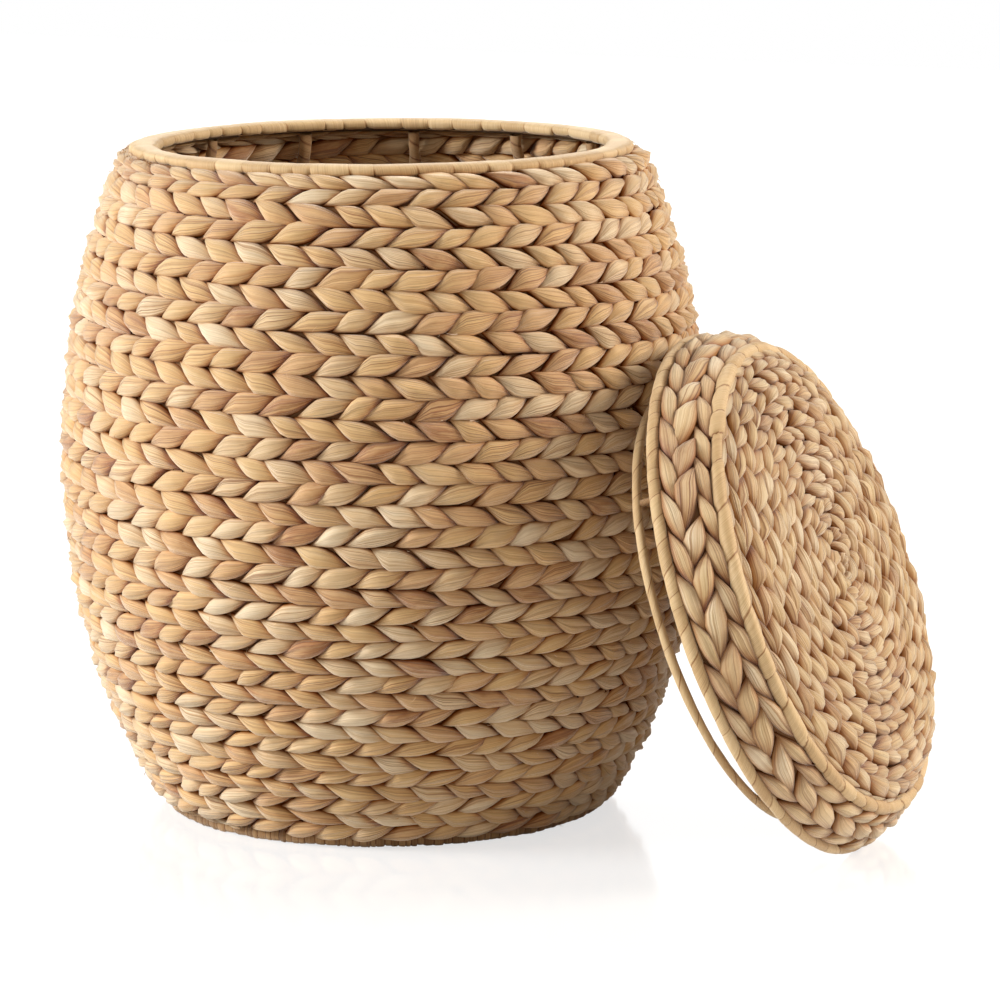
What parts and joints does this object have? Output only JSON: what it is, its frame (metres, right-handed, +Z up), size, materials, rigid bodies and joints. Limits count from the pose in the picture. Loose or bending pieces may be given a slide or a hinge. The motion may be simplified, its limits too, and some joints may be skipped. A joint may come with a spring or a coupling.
{
  "type": "lidded storage basket",
  "caption": "Barrel-shaped storage basket of plaited plant fibre on a wire frame, with a domed lid taken off and leaning on its side.",
  "frame": {"origin": "centre of the basket's base, on the floor it stands on", "axes": "+Z up out of the basket's mouth, +X towards the leaning lid"},
  "size_m": [0.6337, 0.4599, 0.4743],
  "materials": {
    "plait": "dried plaited water hyacinth stems, light tan with brown and cream strands",
    "lid_plait": "dried plaited water hyacinth stems, tan with red-brown strands",
    "binding": "split stems wrapped round a wire, light tan with a slight sheen",
    "stake_wrap": "fibre wrapped round a wire, mid brown",
    "wire": "brown painted iron wire and bar"
  },
  "bodies": {
    "basket": {"side_plait": "plait", "rim_binding": "binding", "rim_hoop": "wire", "stake_01": "stake_wrap", "stake_02": "stake_wrap", "stake_03": "stake_wrap", "stake_04": "stake_wrap", "stake_05": "stake_wrap", "stake_06": "stake_wrap", "stake_07": "stake_wrap", "stake_08": "stake_wrap", "stake_09": "stake_wrap", "stake_10": "stake_wrap", "stake_11": "stake_wrap", "stake_12": "stake_wrap", "stake_13": "stake_wrap", "base_ring": "stake_wrap", "base_cross": "wire", "base_plait": "plait"},
    "lid": {"lid_skirt_ring": "binding", "lid_crown_ring": "binding", "lid_locating_ring": "binding", "lid_band_plait": "lid_plait", "lid_top_plait": "lid_plait", "lid_cross": "wire", "lid_post_1": "stake_wrap", "lid_post_2": "stake_wrap", "lid_post_3": "stake_wrap", "lid_post_4": "stake_wrap"}
  },
  "joints": [
    {"name": "lid_lift", "type": "slide", "parent": "basket", "child": "lid", "axis": [0, 0, 1], "range_m": [0, 0.5]}
  ]
}
